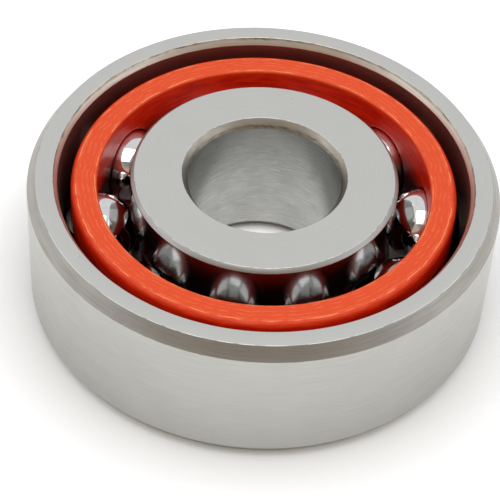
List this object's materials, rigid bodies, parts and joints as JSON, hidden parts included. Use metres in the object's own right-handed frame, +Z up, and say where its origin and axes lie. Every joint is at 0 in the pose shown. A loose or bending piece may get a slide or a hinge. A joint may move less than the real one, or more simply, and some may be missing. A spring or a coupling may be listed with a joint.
{
  "type": "angular contact ball bearing",
  "caption": "Open angular contact ball bearing for a turning shaft: ground steel rings, polished steel balls and a solid machined cage of red fabric laminate.",
  "frame": {"origin": "centre of the lower side face, on the shaft's axis; the bearing lies flat with the high shoulder of its outer ring down", "axes": "+Z up along the shaft's axis, from the side with the outer ring's high shoulder to the relieved side; +X and +Y across the bearing"},
  "size_m": [0.037, 0.037, 0.012],
  "materials": {
    "ring_steel": "ground, satin",
    "cage_laminate": "turned fabric laminate, satin",
    "ball_steel": "mirror polished"
  },
  "bodies": {
    "outer_ring": {"outer_ring": "ring_steel"},
    "inner_ring": {"inner_ring": "ring_steel"},
    "cage": {"cage": "cage_laminate"},
    "ball_01": {"ball_01": "ball_steel"},
    "ball_02": {"ball_02": "ball_steel"},
    "ball_03": {"ball_03": "ball_steel"},
    "ball_04": {"ball_04": "ball_steel"},
    "ball_05": {"ball_05": "ball_steel"},
    "ball_06": {"ball_06": "ball_steel"},
    "ball_07": {"ball_07": "ball_steel"},
    "ball_08": {"ball_08": "ball_steel"},
    "ball_09": {"ball_09": "ball_steel"},
    "ball_10": {"ball_10": "ball_steel"}
  },
  "joints": [
    {"name": "inner_ring_spin", "type": "hinge", "parent": "outer_ring", "child": "inner_ring", "pos_m": [0, 0, 0.006], "axis": [0, 0, 1], "continuous": true},
    {"name": "cage_spin", "type": "hinge", "parent": "outer_ring", "child": "cage", "pos_m": [0, 0, 0.006], "axis": [0, 0, 1], "continuous": true},
    {"name": "ball_01_spin", "type": "hinge", "parent": "cage", "child": "ball_01", "pos_m": [0.01287, 0.0014, 0.006], "axis": [0.2573, 0.028, 0.9659], "continuous": true},
    {"name": "ball_02_spin", "type": "hinge", "parent": "cage", "child": "ball_02", "pos_m": [0.00959, 0.0087, 0.006], "axis": [0.1917, 0.1739, 0.9659], "continuous": true},
    {"name": "ball_03_spin", "type": "hinge", "parent": "cage", "child": "ball_03", "pos_m": [0.00265, 0.01268, 0.006], "axis": [0.0529, 0.2533, 0.9659], "continuous": true},
    {"name": "ball_04_spin", "type": "hinge", "parent": "cage", "child": "ball_04", "pos_m": [-0.00531, 0.01181, 0.006], "axis": [-0.1061, 0.2361, 0.9659], "continuous": true},
    {"name": "ball_05_spin", "type": "hinge", "parent": "cage", "child": "ball_05", "pos_m": [-0.01124, 0.00644, 0.006], "axis": [-0.2246, 0.1286, 0.9659], "continuous": true},
    {"name": "ball_06_spin", "type": "hinge", "parent": "cage", "child": "ball_06", "pos_m": [-0.01287, -0.0014, 0.006], "axis": [-0.2573, -0.028, 0.9659], "continuous": true},
    {"name": "ball_07_spin", "type": "hinge", "parent": "cage", "child": "ball_07", "pos_m": [-0.00959, -0.0087, 0.006], "axis": [-0.1917, -0.1739, 0.9659], "continuous": true},
    {"name": "ball_08_spin", "type": "hinge", "parent": "cage", "child": "ball_08", "pos_m": [-0.00265, -0.01268, 0.006], "axis": [-0.0529, -0.2533, 0.9659], "continuous": true},
    {"name": "ball_09_spin", "type": "hinge", "parent": "cage", "child": "ball_09", "pos_m": [0.00531, -0.01181, 0.006], "axis": [0.1061, -0.2361, 0.9659], "continuous": true},
    {"name": "ball_10_spin", "type": "hinge", "parent": "cage", "child": "ball_10", "pos_m": [0.01124, -0.00644, 0.006], "axis": [0.2246, -0.1286, 0.9659], "continuous": true}
  ],
  "couplings": [
    {"joint": "cage_spin", "follows": "inner_ring_spin", "ratio": 0.38812},
    {"joint": "ball_01_spin", "follows": "inner_ring_spin", "ratio": -2.0503},
    {"joint": "ball_02_spin", "follows": "inner_ring_spin", "ratio": -2.0503},
    {"joint": "ball_03_spin", "follows": "inner_ring_spin", "ratio": -2.0503},
    {"joint": "ball_04_spin", "follows": "inner_ring_spin", "ratio": -2.0503},
    {"joint": "ball_05_spin", "follows": "inner_ring_spin", "ratio": -2.0503},
    {"joint": "ball_06_spin", "follows": "inner_ring_spin", "ratio": -2.0503},
    {"joint": "ball_07_spin", "follows": "inner_ring_spin", "ratio": -2.0503},
    {"joint": "ball_08_spin", "follows": "inner_ring_spin", "ratio": -2.0503},
    {"joint": "ball_09_spin", "follows": "inner_ring_spin", "ratio": -2.0503},
    {"joint": "ball_10_spin", "follows": "inner_ring_spin", "ratio": -2.0503}
  ]
}
